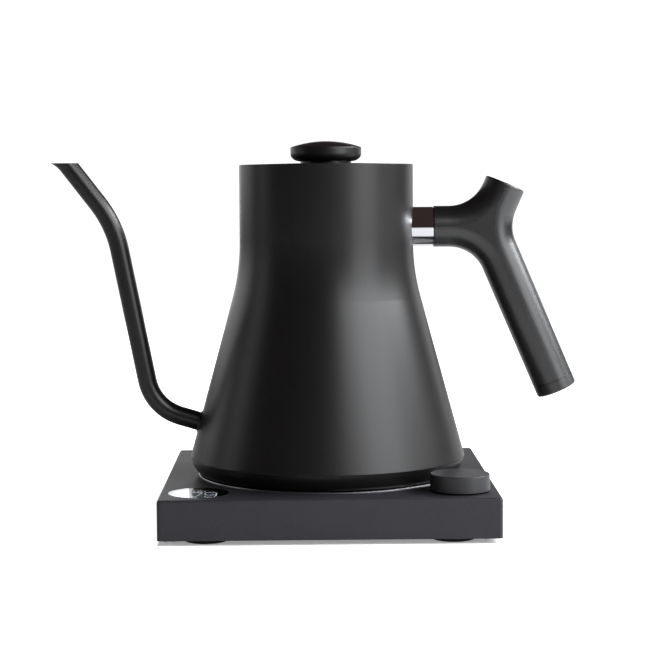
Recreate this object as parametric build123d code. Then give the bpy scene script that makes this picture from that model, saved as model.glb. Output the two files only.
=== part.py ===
from build123d import *
from math import atan2, cos, degrees, radians, sin, sqrt, tan
import os

# Electric gooseneck kettle on a square heating base.
# Millimetres, +Z up. The base stands on z = 0, its front faces -Y, the spout points to -X and
# the handle to +X. Every sub-part is drawn about the kettle's own vertical axis; on export the
# whole object is moved along X so that the origin lies under the middle of its overall box.
# Heights of base parts are measured from the table, heights of kettle parts from the base's top.

# ---------------------------------------------------------------- driving dimensions: base
base_width = 171.0
base_depth = 171.0
base_height = 20.2
base_corner_radius = 1.8
base_edge_radius = 1.2
base_wall = 2.5
base_roof = 2.5
foot_radius = 11.0
foot_proud = 2.5
foot_side_inset = 23.6
foot_end_inset = 15.5
foot_edge_radius = 0.5
plate_recess = 0.5
plate_thickness = 2.0
plate_gap = 0.3
corner_boss_inset = 6.0
corner_boss_radius = 3.5
seat_ring_gap = 1.4
seat_ring_width = 0.8
seat_ring_depth = 0.6
seat_ring_proud = 0.6
seat_ring_edge_radius = 0.25

# ---------------------------------------------------------------- driving dimensions: fasteners
screw_radius = 1.5
screw_head_radius = 2.9
screw_head_height = 1.6
screw_clearance = 0.1
small_screw_radius = 1.2
small_head_radius = 2.3
small_head_height = 1.4
screw_bite = 7.0
small_screw_bite = 2.4

# ---------------------------------------------------------------- driving dimensions: connector
plug_radius = 11.5
plug_rise = 9.0
plug_flange_radius = 20.0
plug_flange_thickness = 2.0
plug_drop = 11.7
plug_slot_bottom = 14.0
contact_height = 2.0
contact_gap = 0.1
slot_width = 2.0
pin_slot_radius = 2.6
outer_slot_inset = 2.9
slot_spacing = 3.4
blade_width = 0.8
pin_radius = 1.8
blade_lift = 0.5
coupler_gap = 0.8
coupler_wall = 2.2
coupler_top = 2.2
coupler_flange_reach = 4.5
running_gap = 0.3

# ---------------------------------------------------------------- driving dimensions: controls
control_setback = 22.5
control_inset = 19.5
window_radius = 15.25
window_thickness = 1.8
window_ledge = 1.75
window_gap = 0.1
display_frame_wall = 2.6
display_frame_radius = 15.0
display_panel_thickness = 2.0
dial_bottom_radius = 15.3
dial_top_radius = 14.9
dial_gap = 0.9
dial_top_height = 9.0
dial_edge_radius = 0.5
dial_skin = 2.2
dial_boss_radius = 5.0
dial_press_travel = 0.5
shaft_radius = 3.0
encoder_size = 13.0
encoder_height = 6.0
encoder_bushing_radius = 4.6
encoder_bushing_rise = 3.2
plunger_height = 2.0
board_thickness = 1.6
board_standoff = 3.0
standoff_radius = 2.8
hold_side = 45.0
hold_travel = 4.0
hold_knob_width = 4.0
hold_knob_height = 3.0
hold_knob_proud = 1.2
hold_body = (18.0, 7.0, 9.0)
gland_bore_radius = 3.4
gland_wall = 1.6
gland_flange = 1.5
gland_flange_thickness = 1.2
gland_inner_length = 5.0
lead_radius = 1.1
lead_bend = 4.0

# ---------------------------------------------------------------- driving dimensions: vessel
rim_height = 165.2
neck_radius = 46.3
shell_foot_radius = 73.5
waist_drop = 56.1
waist_bend_radius = 111.0
shell_wall = 0.8
rim_edge_radius = 0.3
cover_height = 9.5
cover_tuck = 6.4
cover_step = 0.2
cover_floor = 2.0
cover_rim_wall = 2.5
gasket_height = 0.4
gasket_inset = 0.5
water_floor = 20.0
floor_thickness = 0.8
heater_plate_radius = 58.0
heater_plate_thickness = 3.2
element_radius = 42.0
element_width = 6.4
element_height = 6.0
element_gap_angle = 60.0
inner_ring_radius = 29.5
cutout_radius = 8.0
cutout_height = 7.0
probe_radius = 2.4
probe_rise = 7.0
probe_drop = 7.0
probe_seal_wall = 1.2
cover_screw_gap = 4.0
cover_stud_radius = 3.2
cover_stud_bottom = 8.0
cover_boss_radius = 4.6

# ---------------------------------------------------------------- driving dimensions: spout
spout_radius = 5.0
spout_wall = 0.8
spout_root_height = 28.0
spout_root_rise = 16.8
spout_elbow_standoff = 25.1
spout_elbow_radius = 25.0
spout_lean = 11.1
spout_shoulder_drop = 31.1
spout_shoulder_radius = 60.0
spout_tip_lean = 37.4
spout_tip_rise = 1.5
spout_lip_length = 5.0
spout_lip_flare = 2.0
spout_lip_curl = 3.0

# ---------------------------------------------------------------- driving dimensions: handle
handle_drop = 33.2
handle_radius = 10.9
handle_reach = 85.9
handle_blend_radius = 20.1
handle_flat = 0.1
handle_overrun = 8.0
horn_lean = 23.3
horn_length = 24.7
horn_edge_radius = 0.9
grip_lean = 23.2
grip_length = 89.5
end_cap_length = 6.3
end_cap_groove = 0.4
end_cap_groove_depth = 0.6
end_cap_edge_radius = 1.0
ferrule_radius = 10.5
ferrule_length = 11.0
ferrule_bevel = 0.6
stud_radius = 8.0
stud_length = 34.0
stud_gap = 0.2
weight_radius = 7.0
weight_length = 50.0
weight_gap = 0.2
spigot_length = 9.0
handle_screw_radius = 2.0
handle_screw_length = 7.0
handle_screw_recess = 0.9
handle_screw_along = 22.0

# ---------------------------------------------------------------- driving dimensions: lid
lid_gap = 0.6
lid_skirt = 7.4
lid_thickness = 1.1
lid_skirt_wall = 1.0
lid_dome = 0.7
lid_edge_radius = 0.4
lid_cup_depth = 16.2
lid_cup_wall = 0.8
ledge_width = 2.7
ledge_thickness = 0.8
lid_cup_gap = 0.6
lid_gasket_thickness = 1.5
vent_radius = 2.0
vent_place = 32.0
knob_radius = 18.9
knob_neck_radius = 13.5
knob_neck_height = 1.0
knob_under_height = 4.1
knob_side_height = 3.4
knob_dome_height = 3.2
knob_edge_radius = 0.6
knob_screw_radius = 2.0
knob_screw_head_radius = 4.0
knob_screw_head_height = 2.0
knob_screw_bite = 7.0

# ---------------------------------------------------------------- levels and derived places
base_top = foot_proud + base_height
plate_bottom = foot_proud + plate_recess
cavity_floor = plate_bottom + plate_thickness
cavity_roof = base_top - base_roof
board_bottom = cavity_floor + board_standoff
board_top = board_bottom + board_thickness
wall_middle = foot_proud + base_height / 2
inner_half_width = base_width / 2 - base_wall
inner_half_depth = base_depth / 2 - base_wall
control_side = base_width / 2 - control_inset
display_place = (-control_side, control_setback - base_depth / 2)
dial_place = (control_side, control_setback - base_depth / 2)

shell_foot = cover_height + gasket_height
cover_seat_radius = shell_foot_radius - cover_tuck
cover_screw_circle = heater_plate_radius + cover_screw_gap
outer_slot_radius = plug_radius - outer_slot_inset
inner_slot_radius = outer_slot_radius - slot_spacing
waist_height = rim_height - waist_drop
cone_slope = (shell_foot_radius - neck_radius) / (waist_height - shell_foot)
cone_angle = atan2(shell_foot_radius - neck_radius, waist_height - shell_foot)
cone_wall = shell_wall / cos(cone_angle)
rim_inner_radius = neck_radius - shell_wall
heater_plate_bottom = water_floor - floor_thickness - heater_plate_thickness
coupler_bore = plug_radius + coupler_gap
coupler_outer = coupler_bore + coupler_wall
coupler_ceiling = plug_rise + coupler_gap
coupler_flange_radius = coupler_outer + coupler_flange_reach

handle_height = rim_height - handle_drop
neck_start = neck_radius + ferrule_length
horn_way = Vector(sin(radians(horn_lean)), 0, cos(radians(horn_lean)))
grip_way = Vector(sin(radians(grip_lean)), 0, -cos(radians(grip_lean)))
handle_hub = Vector(handle_reach, 0, handle_height)
grip_end = handle_hub + grip_way * grip_length

lid_radius = rim_inner_radius - lid_gap
lid_top = rim_height + lid_dome
lid_under = rim_height - lid_thickness
lid_skirt_bottom = rim_height - lid_skirt
ledge_top = lid_skirt_bottom - lid_gasket_thickness
ledge_inner_radius = rim_inner_radius - ledge_width
lid_cup_radius = ledge_inner_radius - lid_cup_gap
lid_cup_bottom = lid_under - lid_cup_depth


def cone_radius(height):
    """Outer radius of the vessel's conical skirt at a height above the base's top."""
    return shell_foot_radius - cone_slope * (height - shell_foot)


elbow_height = spout_root_height + spout_elbow_standoff * tan(radians(spout_root_rise))
spout_root = Vector(-cone_radius(spout_root_height), 0, spout_root_height)
spout_elbow = spout_root + Vector(-spout_elbow_standoff, 0, elbow_height - spout_root_height)
shoulder_height = rim_height - spout_shoulder_drop
spout_shoulder = Vector(
    spout_elbow.X - (shoulder_height - elbow_height) * tan(radians(spout_lean)), 0, shoulder_height)
spout_tip_height = rim_height + spout_tip_rise
spout_tip = Vector(
    spout_shoulder.X - (spout_tip_height - shoulder_height) * tan(radians(spout_tip_lean)),
    0, spout_tip_height)

# Overall reach to either side of the kettle's axis; their middle becomes the origin.
tip_half_width = spout_radius / cos(radians(spout_tip_lean))
spout_reach = -spout_tip.X + tip_half_width + spout_lip_flare
cap_end = grip_end + grip_way * end_cap_length
handle_far_side = cap_end.X + handle_radius * cos(radians(grip_lean))
axis_x = (spout_reach - handle_far_side) / 2


# ---------------------------------------------------------------- shared shapes
def disc(radius, bottom, top, x=0.0, y=0.0):
    """Upright cylinder between two heights."""
    return Pos(x, y, bottom) * extrude(Circle(radius), top - bottom)


def tube(outer, inner, bottom, top, x=0.0, y=0.0):
    """Upright round tube between two heights."""
    return Pos(x, y, bottom) * extrude(Circle(outer) - Circle(inner), top - bottom)


def block(size_x, size_y, bottom, top, x=0.0, y=0.0, corner=0.0):
    """Upright rectangular block between two heights, with rounded vertical corners if asked."""
    outline = RectangleRounded(size_x, size_y, corner) if corner else Rectangle(size_x, size_y)
    return Pos(x, y, bottom) * extrude(outline, top - bottom)


def turned(*outline):
    """Solid of revolution about the kettle's axis from joined edges drawn in the XZ plane."""
    return revolve(make_face(Curve() + list(outline)), Axis.Z)


def bar(start, way, length, radius):
    """Round bar from a point along a direction."""
    return extrude(Plane(origin=start, z_dir=way) * Circle(radius), length)


def piped(points, bend_radii, radius):
    """Round rod or pipe along straight runs joined by tangent arcs."""
    path = FilletPolyline(*points, radius=bend_radii)
    return sweep(Plane(origin=path @ 0, z_dir=path % 0) * Circle(radius), path=path)


def screw_up(x, y, head_bottom, shank_top, radius, head_radius, head_height):
    """Screw driven upwards: head below, shank above."""
    head = disc(head_radius, head_bottom, head_bottom + head_height, x, y)
    return head + disc(radius, head_bottom + head_height, shank_top, x, y)


def screw_down(x, y, seat, shank_bottom, radius, head_radius, head_height):
    """Screw driven downwards: head above its seat, shank below."""
    head = disc(head_radius, seat, seat + head_height, x, y)
    return head + disc(radius, shank_bottom, seat, x, y)


# ---------------------------------------------------------------- base: housing and underside
corner_bosses = [
    (sx * (base_width / 2 - corner_boss_inset), sy * (base_depth / 2 - corner_boss_inset))
    for sx in (-1, 1) for sy in (-1, 1)]
foot_places = {
    "foot_front_left": (-1, -1),
    "foot_front_right": (1, -1),
    "foot_rear_left": (-1, 1),
    "foot_rear_right": (1, 1)}


def base_housing():
    """Square moulded housing: roof and four walls, open below, with every opening cut in it."""
    body = block(base_width, base_depth, foot_proud, base_top, corner=base_corner_radius)
    body = fillet(body.faces().sort_by(Axis.Z)[-1].edges(), base_edge_radius)
    body -= block(2 * inner_half_width, 2 * inner_half_depth, foot_proud, cavity_roof,
                  corner=base_corner_radius / 2)
    for x, y in corner_bosses:
        boss = disc(corner_boss_radius, cavity_floor, cavity_roof, x, y)
        body += boss
        body -= disc(screw_radius + screw_clearance, cavity_floor,
                     cavity_floor + screw_bite + screw_clearance, x, y)
    ring_inner = cover_seat_radius + seat_ring_gap
    body -= tube(ring_inner + seat_ring_width, ring_inner, base_top - seat_ring_depth, base_top)
    body -= disc(plug_radius + running_gap, cavity_roof, base_top)
    x, y = display_place
    body -= disc(window_radius + window_gap, base_top - window_thickness, base_top, x, y)
    body -= disc(window_radius - window_ledge, cavity_roof, base_top, x, y)
    body -= disc(shaft_radius + 2 * running_gap, cavity_roof, base_top, *dial_place)
    gland_hole = gland_bore_radius + gland_wall + screw_clearance
    body -= bar((0, inner_half_depth, wall_middle), (0, 1, 0), base_wall, gland_hole)
    slot = Box(hold_travel + hold_knob_width + 2 * running_gap, base_wall,
               hold_knob_height + 2 * running_gap)
    body -= Pos(hold_side, base_depth / 2 - base_wall / 2, wall_middle) * slot
    return body


control_board_gap = 3.0
control_board_depth = 43.0
control_screw_spacing = 84.0
control_screw_inset = 5.0
power_board_place = (-43.0, 53.0)
power_board_size = (58.0, 38.0)
board_screw_inset = 3.5
power_screws = [
    (power_board_place[0] + sx * (power_board_size[0] / 2 - board_screw_inset),
     power_board_place[1] + sy * (power_board_size[1] / 2 - board_screw_inset))
    for sx in (-1, 1) for sy in (-1, 1)]
control_board_size = (2 * (inner_half_width - control_board_gap), control_board_depth)
control_board_front = control_board_gap - inner_half_depth
control_board_middle = control_board_front + control_board_depth / 2
control_screws = [
    (sx * control_screw_spacing / 2,
     control_board_middle + sy * (control_board_depth / 2 - control_screw_inset))
    for sx in (-1, 1) for sy in (-1, 1)]
board_notch = 1.0


def bottom_plate():
    """Moulded plate closing the underside, with the posts that carry both boards."""
    plate = block(2 * (inner_half_width - plate_gap), 2 * (inner_half_depth - plate_gap),
                  plate_bottom, cavity_floor, corner=base_corner_radius / 2)
    for x, y in corner_bosses:
        plate -= disc(screw_radius + screw_clearance, plate_bottom, cavity_floor, x, y)
    for x, y in control_screws + power_screws:
        plate += disc(standoff_radius, cavity_floor, board_bottom, x, y)
        plate -= disc(small_screw_radius + screw_clearance, board_bottom - small_screw_bite,
                      board_bottom, x, y)
    return plate


def foot(side_x, side_y):
    """Rubber disc glued under the bottom plate, with a rounded lower edge."""
    place = Pos(side_x * (base_width / 2 - foot_side_inset), side_y * (base_depth / 2 - foot_end_inset), 0)
    pad = disc(foot_radius, 0, plate_bottom)
    return place * fillet(pad.faces().sort_by(Axis.Z)[0].edges(), foot_edge_radius)


def base_screws():
    """Four screws that pull the bottom plate up against the housing's corner bosses."""
    return Compound([
        screw_up(x, y, plate_bottom - screw_head_height, cavity_floor + screw_bite,
                 screw_radius, screw_head_radius, screw_head_height)
        for x, y in corner_bosses])


def seat_ring():
    """Bright ring let into the roof around the place where the kettle stands."""
    inner = cover_seat_radius + seat_ring_gap
    ring = tube(inner + seat_ring_width, inner, base_top - seat_ring_depth, base_top + seat_ring_proud)
    return fillet(ring.faces().sort_by(Axis.Z)[-1].edges(), seat_ring_edge_radius)


# ---------------------------------------------------------------- base: round connector
def ring_slot(middle_radius, bottom, top):
    """Ring-shaped groove of the connector about its own middle radius."""
    return tube(middle_radius + slot_width / 2, middle_radius - slot_width / 2, bottom, top)


def plug_housing():
    """Round tower of the connector: flange under the roof, three contact grooves from above."""
    top = base_top + plug_rise
    tower = disc(plug_radius, cavity_roof - plug_drop, top)
    tower = fillet(tower.faces().sort_by(Axis.Z)[-1].edges(), dial_edge_radius)
    tower += disc(plug_flange_radius, cavity_roof - plug_flange_thickness, cavity_roof)
    tower -= disc(pin_slot_radius, plug_slot_bottom, top)
    tower -= ring_slot(inner_slot_radius, plug_slot_bottom, top)
    tower -= ring_slot(outer_slot_radius, plug_slot_bottom, top)
    return tower


def plug_contact(middle_radius):
    """Ring contact lying at the bottom of one connector groove."""
    half = slot_width / 2 - contact_gap
    return tube(middle_radius + half, middle_radius - half, plug_slot_bottom,
                plug_slot_bottom + contact_height)


def plug_earth_contact():
    """Round earth contact at the bottom of the middle bore."""
    return disc(pin_slot_radius - contact_gap, plug_slot_bottom, plug_slot_bottom + contact_height)


# ---------------------------------------------------------------- base: display and boards
def display_window():
    """Round glass let flush into the roof."""
    pane = disc(window_radius, base_top - window_thickness, base_top, *display_place)
    return pane


def display_frame():
    """Holder between the board and the roof, with the step that carries the display panel."""
    inner = display_frame_radius - display_frame_wall
    panel_seat = cavity_roof - display_panel_thickness
    holder = tube(display_frame_radius, inner, board_top, cavity_roof, *display_place)
    step = tube(inner, inner - window_ledge, panel_seat - display_frame_wall, panel_seat,
                *display_place)
    return holder + step


def display_panel():
    """Round display under the glass."""
    radius = display_frame_radius - display_frame_wall - window_gap
    return disc(radius, cavity_roof - display_panel_thickness, cavity_roof, *display_place)


def control_board():
    """Printed board along the front, notched round the corner bosses and drilled for its screws."""
    board = block(*control_board_size, board_bottom, board_top, y=control_board_middle)
    for x, y in corner_bosses:
        board -= disc(corner_boss_radius + board_notch, board_bottom, board_top, x, y)
    for x, y in control_screws:
        board -= disc(small_screw_radius + screw_clearance, board_bottom, board_top, x, y)
    return board


def power_board():
    """Smaller printed board behind the connector, for the mains side."""
    board = block(*power_board_size, board_bottom, board_top, *power_board_place)
    for x, y in power_screws:
        board -= disc(small_screw_radius + screw_clearance, board_bottom, board_top, x, y)
    return board


def board_screws():
    """Eight small screws that hold both boards on their posts."""
    return Compound([
        screw_down(x, y, board_top, board_bottom - small_screw_bite, small_screw_radius,
                   small_head_radius, small_head_height)
        for x, y in control_screws + power_screws])


relay_size = (20.0, 15.5, 9.6)
relay_place = (-54.0, 45.0)
transformer_size = (20.0, 12.0, 9.4)
transformer_place = (-54.0, 62.0)
terminal_size = (9.0, 12.0, 8.0)
terminal_place = (-22.0, 58.0)
terminal_way_spacing = 5.0
capacitor_radius = 4.0
capacitor_length = 14.0
capacitor_place = (-34.5, 62.0)
plug_lead_spacing = 9.0


def on_board(size, place):
    """Rectangular component standing on a board."""
    return block(size[0], size[1], board_top, board_top + size[2], *place, corner=0.8)


def filter_capacitor():
    """Drum capacitor standing on a flat sided cradle on the power board."""
    x, y = capacitor_place
    middle = board_top + capacitor_radius
    drum = bar((x - capacitor_length / 2, y, middle), (1, 0, 0), capacitor_length, capacitor_radius)
    cradle = block(capacitor_length, capacitor_radius, board_top, middle, x, y)
    return drum + cradle


def mains_leads():
    """Two leads from the gland's inner end to the terminal block."""
    face = terminal_place[0] + terminal_size[0] / 2
    start = inner_half_depth - gland_inner_length - lead_radius
    leads = []
    for side in (-1, 1):
        x = side * (lead_radius + contact_gap)
        y = terminal_place[1] - side * terminal_way_spacing / 2
        leads.append(piped([(x, start, wall_middle), (x, y, wall_middle), (face, y, wall_middle)],
                           lead_bend, lead_radius))
    return Compound(leads)


def plug_leads():
    """Two switched leads from the relay to the foot of the connector."""
    relay_face = relay_place[0] + relay_size[0] / 2
    height = cavity_roof - plug_flange_thickness - 2 * lead_radius
    leads = []
    for side in (-1, 1):
        x = side * plug_lead_spacing / 2
        y = relay_place[1] + (side - 1.6) * lead_bend / 2
        path = [(relay_face, y, height), (x, y, height), (x, 0, height)]
        leads.append(piped(path, lead_bend, lead_radius) - disc(plug_radius, 0, base_top))
    return Compound(leads)


# ---------------------------------------------------------------- base: dial, encoder, switch
def encoder_body():
    """Rotary and push encoder on the board, with a round bushing towards the roof."""
    top = board_top + encoder_height
    body = block(encoder_size, encoder_size, board_top, top, *dial_place, corner=0.6)
    body += disc(encoder_bushing_radius, top, top + encoder_bushing_rise, *dial_place)
    bore_bottom = board_top + encoder_height / 4
    body -= disc(shaft_radius + running_gap, bore_bottom, top + encoder_bushing_rise, *dial_place)
    return body


plunger_bottom = board_top + encoder_height / 4 + dial_press_travel + running_gap
plunger_top = plunger_bottom + plunger_height
shaft_top = base_top + dial_top_height - dial_skin


def encoder_plunger():
    """Round push piece under the shaft; it goes down with the dial but doesn't turn."""
    return disc(shaft_radius, plunger_bottom, plunger_top, *dial_place)


def dial_shaft():
    """Steel shaft between the encoder and the dial."""
    return disc(shaft_radius, plunger_top, shaft_top, *dial_place)


def control_dial():
    """Turned dial: slightly conical side, rounded top edge, hollow below around a boss."""
    bottom = base_top + dial_gap
    top = base_top + dial_top_height
    side = Polyline((0, 0, bottom), (dial_bottom_radius, 0, bottom), (dial_top_radius, 0, top),
                    (0, 0, top), close=True)
    cap = revolve(make_face(side), Axis.Z)
    cap = fillet(cap.faces().sort_by(Axis.Z)[-1].edges(), dial_edge_radius)
    cap -= tube(dial_top_radius - dial_skin, dial_boss_radius, bottom, top - dial_skin)
    cap -= disc(shaft_radius, bottom, top - dial_skin)
    return Pos(*dial_place, 0) * cap


def hold_switch_body():
    """Slide switch behind the rear wall, with the channel in which its slider runs."""
    width, depth, height = hold_body
    body = Pos(hold_side, inner_half_depth - depth / 2, wall_middle) * Box(width, depth, height)
    channel = Box(hold_travel + hold_knob_width + 2 * running_gap, depth / 2,
                  hold_knob_height + 2 * running_gap)
    return body - Pos(hold_side, inner_half_depth - depth / 4, wall_middle) * channel


def hold_slider():
    """Small rectangular slider that sticks out through the slot in the rear wall."""
    outer = base_depth / 2 + hold_knob_proud
    inner = inner_half_depth - hold_body[1] / 2 + running_gap
    x = hold_side - hold_travel / 2
    knob = Box(hold_knob_width, outer - inner, hold_knob_height)
    return Pos(x, (outer + inner) / 2, wall_middle) * knob


def cord_gland():
    """Bushing in the rear wall for the mains cord: outer flange, sleeve, inner flange and bore."""
    sleeve_radius = gland_bore_radius + gland_wall
    flange_radius = sleeve_radius + gland_flange
    rear = base_depth / 2
    back = (0, 1, 0)
    length = base_wall + gland_flange_thickness + gland_inner_length
    start = rear - base_wall - gland_inner_length
    gland = bar((0, start, wall_middle), back, length, sleeve_radius)
    gland += bar((0, rear, wall_middle), back, gland_flange_thickness, flange_radius)
    gland += bar((0, rear - base_wall - gland_flange_thickness, wall_middle), back,
                 gland_flange_thickness, flange_radius)
    return gland - bar((0, start, wall_middle), back, length, gland_bore_radius)


# ---------------------------------------------------------------- kettle: connector half
blade_bottom = plug_slot_bottom + contact_height + blade_lift - base_top


def coupler_housing():
    """Round cup that drops over the tower, with the flange that is held in the kettle's foot."""
    top = coupler_ceiling + coupler_top
    cup = disc(coupler_outer, running_gap, top)
    cup += disc(coupler_flange_radius, top - coupler_top, top)
    return cup - disc(coupler_bore, running_gap, coupler_ceiling)


def coupler_earth_pin():
    """Earth pin in the middle of the connector."""
    return disc(pin_radius, blade_bottom, coupler_ceiling)


def coupler_ring(middle_radius):
    """Contact ring that dips into a groove of the tower."""
    half = blade_width / 2
    return tube(middle_radius + half, middle_radius - half, blade_bottom, coupler_ceiling)


# ---------------------------------------------------------------- kettle: vessel
def shell_outline(inset, foot_inset_radius, top):
    """Half outline of the vessel: conical skirt, concave waist and straight neck."""
    radius = neck_radius - inset
    foot = shell_foot_radius - foot_inset_radius
    bend = shell_foot + (foot - radius) / cone_slope
    return FilletPolyline((foot, 0, shell_foot), (radius, 0, bend), (radius, 0, top),
                          radius=waist_bend_radius + inset)


def vessel_body():
    """Solid within the vessel's outer skin, used to trim what is welded to it."""
    skin = shell_outline(0, 0, rim_height)
    return turned(skin, Line(skin @ 1, (0, 0, rim_height)), Line((0, 0, rim_height), (0, 0, shell_foot)),
                  Line((0, 0, shell_foot), skin @ 0))


def vessel_shell():
    """Spun steel wall from the foot edge to the rim, with the hole that feeds the spout."""
    outer = shell_outline(0, 0, rim_height)
    inner = shell_outline(shell_wall, cone_wall, rim_height)
    shell = turned(outer, Line(outer @ 1, inner @ 1), inner, Line(inner @ 0, outer @ 0))
    shell = fillet(shell.edges().group_by(Axis.Z)[-1], rim_edge_radius)
    rise = radians(spout_root_rise)
    inward = Vector(cos(rise), 0, -sin(rise))
    return shell - bar(spout_root - inward * 4 * shell_wall, inward, 10 * shell_wall,
                       spout_radius - spout_wall)


def rim_ledge():
    """Ring inside the neck on which the lid's seal rests."""
    return tube(rim_inner_radius, ledge_inner_radius, ledge_top - ledge_thickness, ledge_top)


def probe_place():
    """Plan position of the temperature probe."""
    return 0.0, inner_ring_radius


cover_screw_places = [
    (cover_screw_circle * cos(radians(angle)), cover_screw_circle * sin(radians(angle)))
    for angle in (90, 210, 330)]


def vessel_floor():
    """Steel floor welded into the skirt, with three threaded studs for the foot cover."""
    bottom = water_floor - floor_thickness
    low = (cone_radius(bottom) - cone_wall, 0, bottom)
    high = (cone_radius(water_floor) - cone_wall, 0, water_floor)
    sheet = revolve(make_face(Polyline((0, 0, bottom), low, high, (0, 0, water_floor), close=True)),
                    Axis.Z)
    for x, y in cover_screw_places:
        sheet += disc(cover_stud_radius, cover_stud_bottom, bottom, x, y)
        sheet -= disc(screw_radius + screw_clearance, cover_stud_bottom,
                      cover_stud_bottom + screw_bite, x, y)
    return sheet - disc(probe_radius + probe_seal_wall, bottom, water_floor, *probe_place())


def spout():
    """Gooseneck tube of constant bore, cut level at the tip and drawn out to a pouring lip."""
    rise = radians(spout_root_rise)
    inside = spout_root + Vector(cos(rise), 0, -sin(rise)) * 3 * spout_radius
    beyond = spout_tip + (spout_tip - spout_shoulder).normalized() * 3 * spout_radius
    points = [inside, spout_elbow, spout_shoulder, beyond]
    bends = (spout_elbow_radius, spout_shoulder_radius)
    lip_bottom = spout_tip_height - spout_lip_length
    cut = Plane.XY.offset(lip_bottom)

    def lip_section(radius, share):
        """Level section of the lip at a share of its length, flared more and more outwards."""
        rise_in_lip = share * spout_lip_length
        flare = spout_lip_flare * share ** spout_lip_curl
        middle = spout_tip.X + (spout_lip_length - rise_in_lip) * tan(radians(spout_tip_lean))
        stretch = radius / cos(radians(spout_tip_lean))
        return Pos(middle - flare / 2, 0, lip_bottom + rise_in_lip) * Ellipse(
            stretch + flare / 2, radius + flare / 8)

    def skin(radius):
        pipe = split(piped(points, bends, radius), cut, keep=Keep.BOTTOM)
        return pipe, loft([lip_section(radius, share) for share in (0, 0.4, 0.7, 1)])

    outer_pipe, outer_lip = skin(spout_radius)
    inner_pipe, inner_lip = skin(spout_radius - spout_wall)
    return (outer_pipe + outer_lip) - inner_pipe - inner_lip - vessel_body()


# ---------------------------------------------------------------- kettle: heater and foot cover
def heater_plate():
    """Aluminium plate that spreads the heat under the floor."""
    plate = disc(heater_plate_radius, heater_plate_bottom, water_floor - floor_thickness)
    return plate - disc(probe_radius + probe_seal_wall, heater_plate_bottom, water_floor,
                        *probe_place())


def heater_element():
    """Sheathed element bent to an open ring under the plate, with a cold pin at either end."""
    bottom = heater_plate_bottom - element_height
    section = Pos(element_radius, 0, 0) * Rot(90, 0, 0) * RectangleRounded(
        element_width, element_height, element_width / 4)
    section = Pos(0, 0, bottom + element_height / 2) * section
    half_gap = element_gap_angle / 2
    ring = Rot(0, 0, half_gap) * revolve(section, Axis.Z, 360 - element_gap_angle)
    for side in (-1, 1):
        angle = radians(side * half_gap)
        end = (element_radius * cos(angle), element_radius * sin(angle), bottom + element_height / 2)
        way = (side * sin(angle), -side * cos(angle), 0)
        ring += bar(end, way, element_height, lead_radius)
    return ring


def thermal_cutout():
    """Round snap-disc cutout pressed against the plate in the element's gap."""
    return disc(cutout_radius, heater_plate_bottom - cutout_height, heater_plate_bottom,
                x=inner_ring_radius)


def heater_leads():
    """Two short leads from the element's cold pins to the cutout."""
    height = heater_plate_bottom - element_height / 2
    half_gap = radians(element_gap_angle / 2)
    leads = []
    for side in (-1, 1):
        end = Vector(element_radius * cos(half_gap), side * element_radius * sin(half_gap), height)
        way = Vector(sin(half_gap), -side * cos(half_gap), 0)
        cutout = Vector(inner_ring_radius, side * lead_bend / 2, height)
        lead = piped([end + way * element_height, end + way * 2 * element_height, cutout],
                     lead_bend, lead_radius)
        leads.append(lead - disc(cutout_radius, 0, water_floor, x=inner_ring_radius))
    return Compound(leads)


def temperature_probe():
    """Steel bullet through floor and plate, domed on the wet side."""
    probe = disc(probe_radius, heater_plate_bottom - probe_drop, water_floor + probe_rise,
                 *probe_place())
    return fillet(probe.faces().sort_by(Axis.Z)[-1].edges(), probe_radius * 0.9)


def probe_seal():
    """Silicone sleeve between the probe and the floor."""
    return tube(probe_radius + probe_seal_wall, probe_radius, heater_plate_bottom, water_floor,
                *probe_place())


def base_cover():
    """Black moulded foot of the kettle: flat seat, rounded outer wall and a collar for the cup."""
    collar_bore = coupler_outer + running_gap
    collar_outer = coupler_flange_radius - 1.5
    rim_radius = shell_foot_radius - cover_step
    rim_inner = rim_radius - cover_rim_wall
    seat_inner = cover_seat_radius - cover_rim_wall / 2
    bulge = (cover_seat_radius + 0.67 * (rim_radius - cover_seat_radius), 0, 0.43 * cover_height)
    wall = ThreePointArc((cover_seat_radius, 0, 0), bulge, (rim_radius, 0, cover_height))
    inside = Polyline((rim_radius, 0, cover_height), (rim_inner, 0, cover_height),
                      (seat_inner, 0, cover_floor), (collar_outer, 0, cover_floor),
                      (collar_outer, 0, coupler_ceiling), (collar_bore, 0, coupler_ceiling),
                      (collar_bore, 0, 0), (cover_seat_radius, 0, 0))
    cover = turned(wall, inside)
    head_seat = screw_head_height + running_gap
    for x, y in cover_screw_places:
        cover += disc(cover_boss_radius, cover_floor, cover_stud_bottom, x, y)
        cover -= disc(screw_head_radius + running_gap, 0, head_seat, x, y)
        cover -= disc(screw_radius + screw_clearance, head_seat, cover_stud_bottom, x, y)
    return cover


def cover_gasket():
    """Flat seal between the foot cover and the edge of the steel wall."""
    outer = shell_foot_radius - gasket_inset
    inner = shell_foot_radius - cover_step - cover_rim_wall
    return tube(outer, inner, cover_height, shell_foot)


def cover_screws():
    """Three screws from below that pull the foot cover up to the studs."""
    return Compound([
        screw_up(x, y, running_gap, cover_stud_bottom + screw_bite - screw_clearance,
                 screw_radius, screw_head_radius, screw_head_height)
        for x, y in cover_screw_places])


# ---------------------------------------------------------------- kettle: handle
side_way = Vector(1, 0, 0)
stud_end = neck_radius + stud_length
weight_start = grip_end - grip_way * (spigot_length + weight_length)
screw_seat = handle_height - handle_radius + handle_screw_recess


def along_neck(distance):
    """Point on the neck's axis at a distance from the vessel's wall."""
    return Vector(neck_radius + distance, 0, handle_height)


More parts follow.
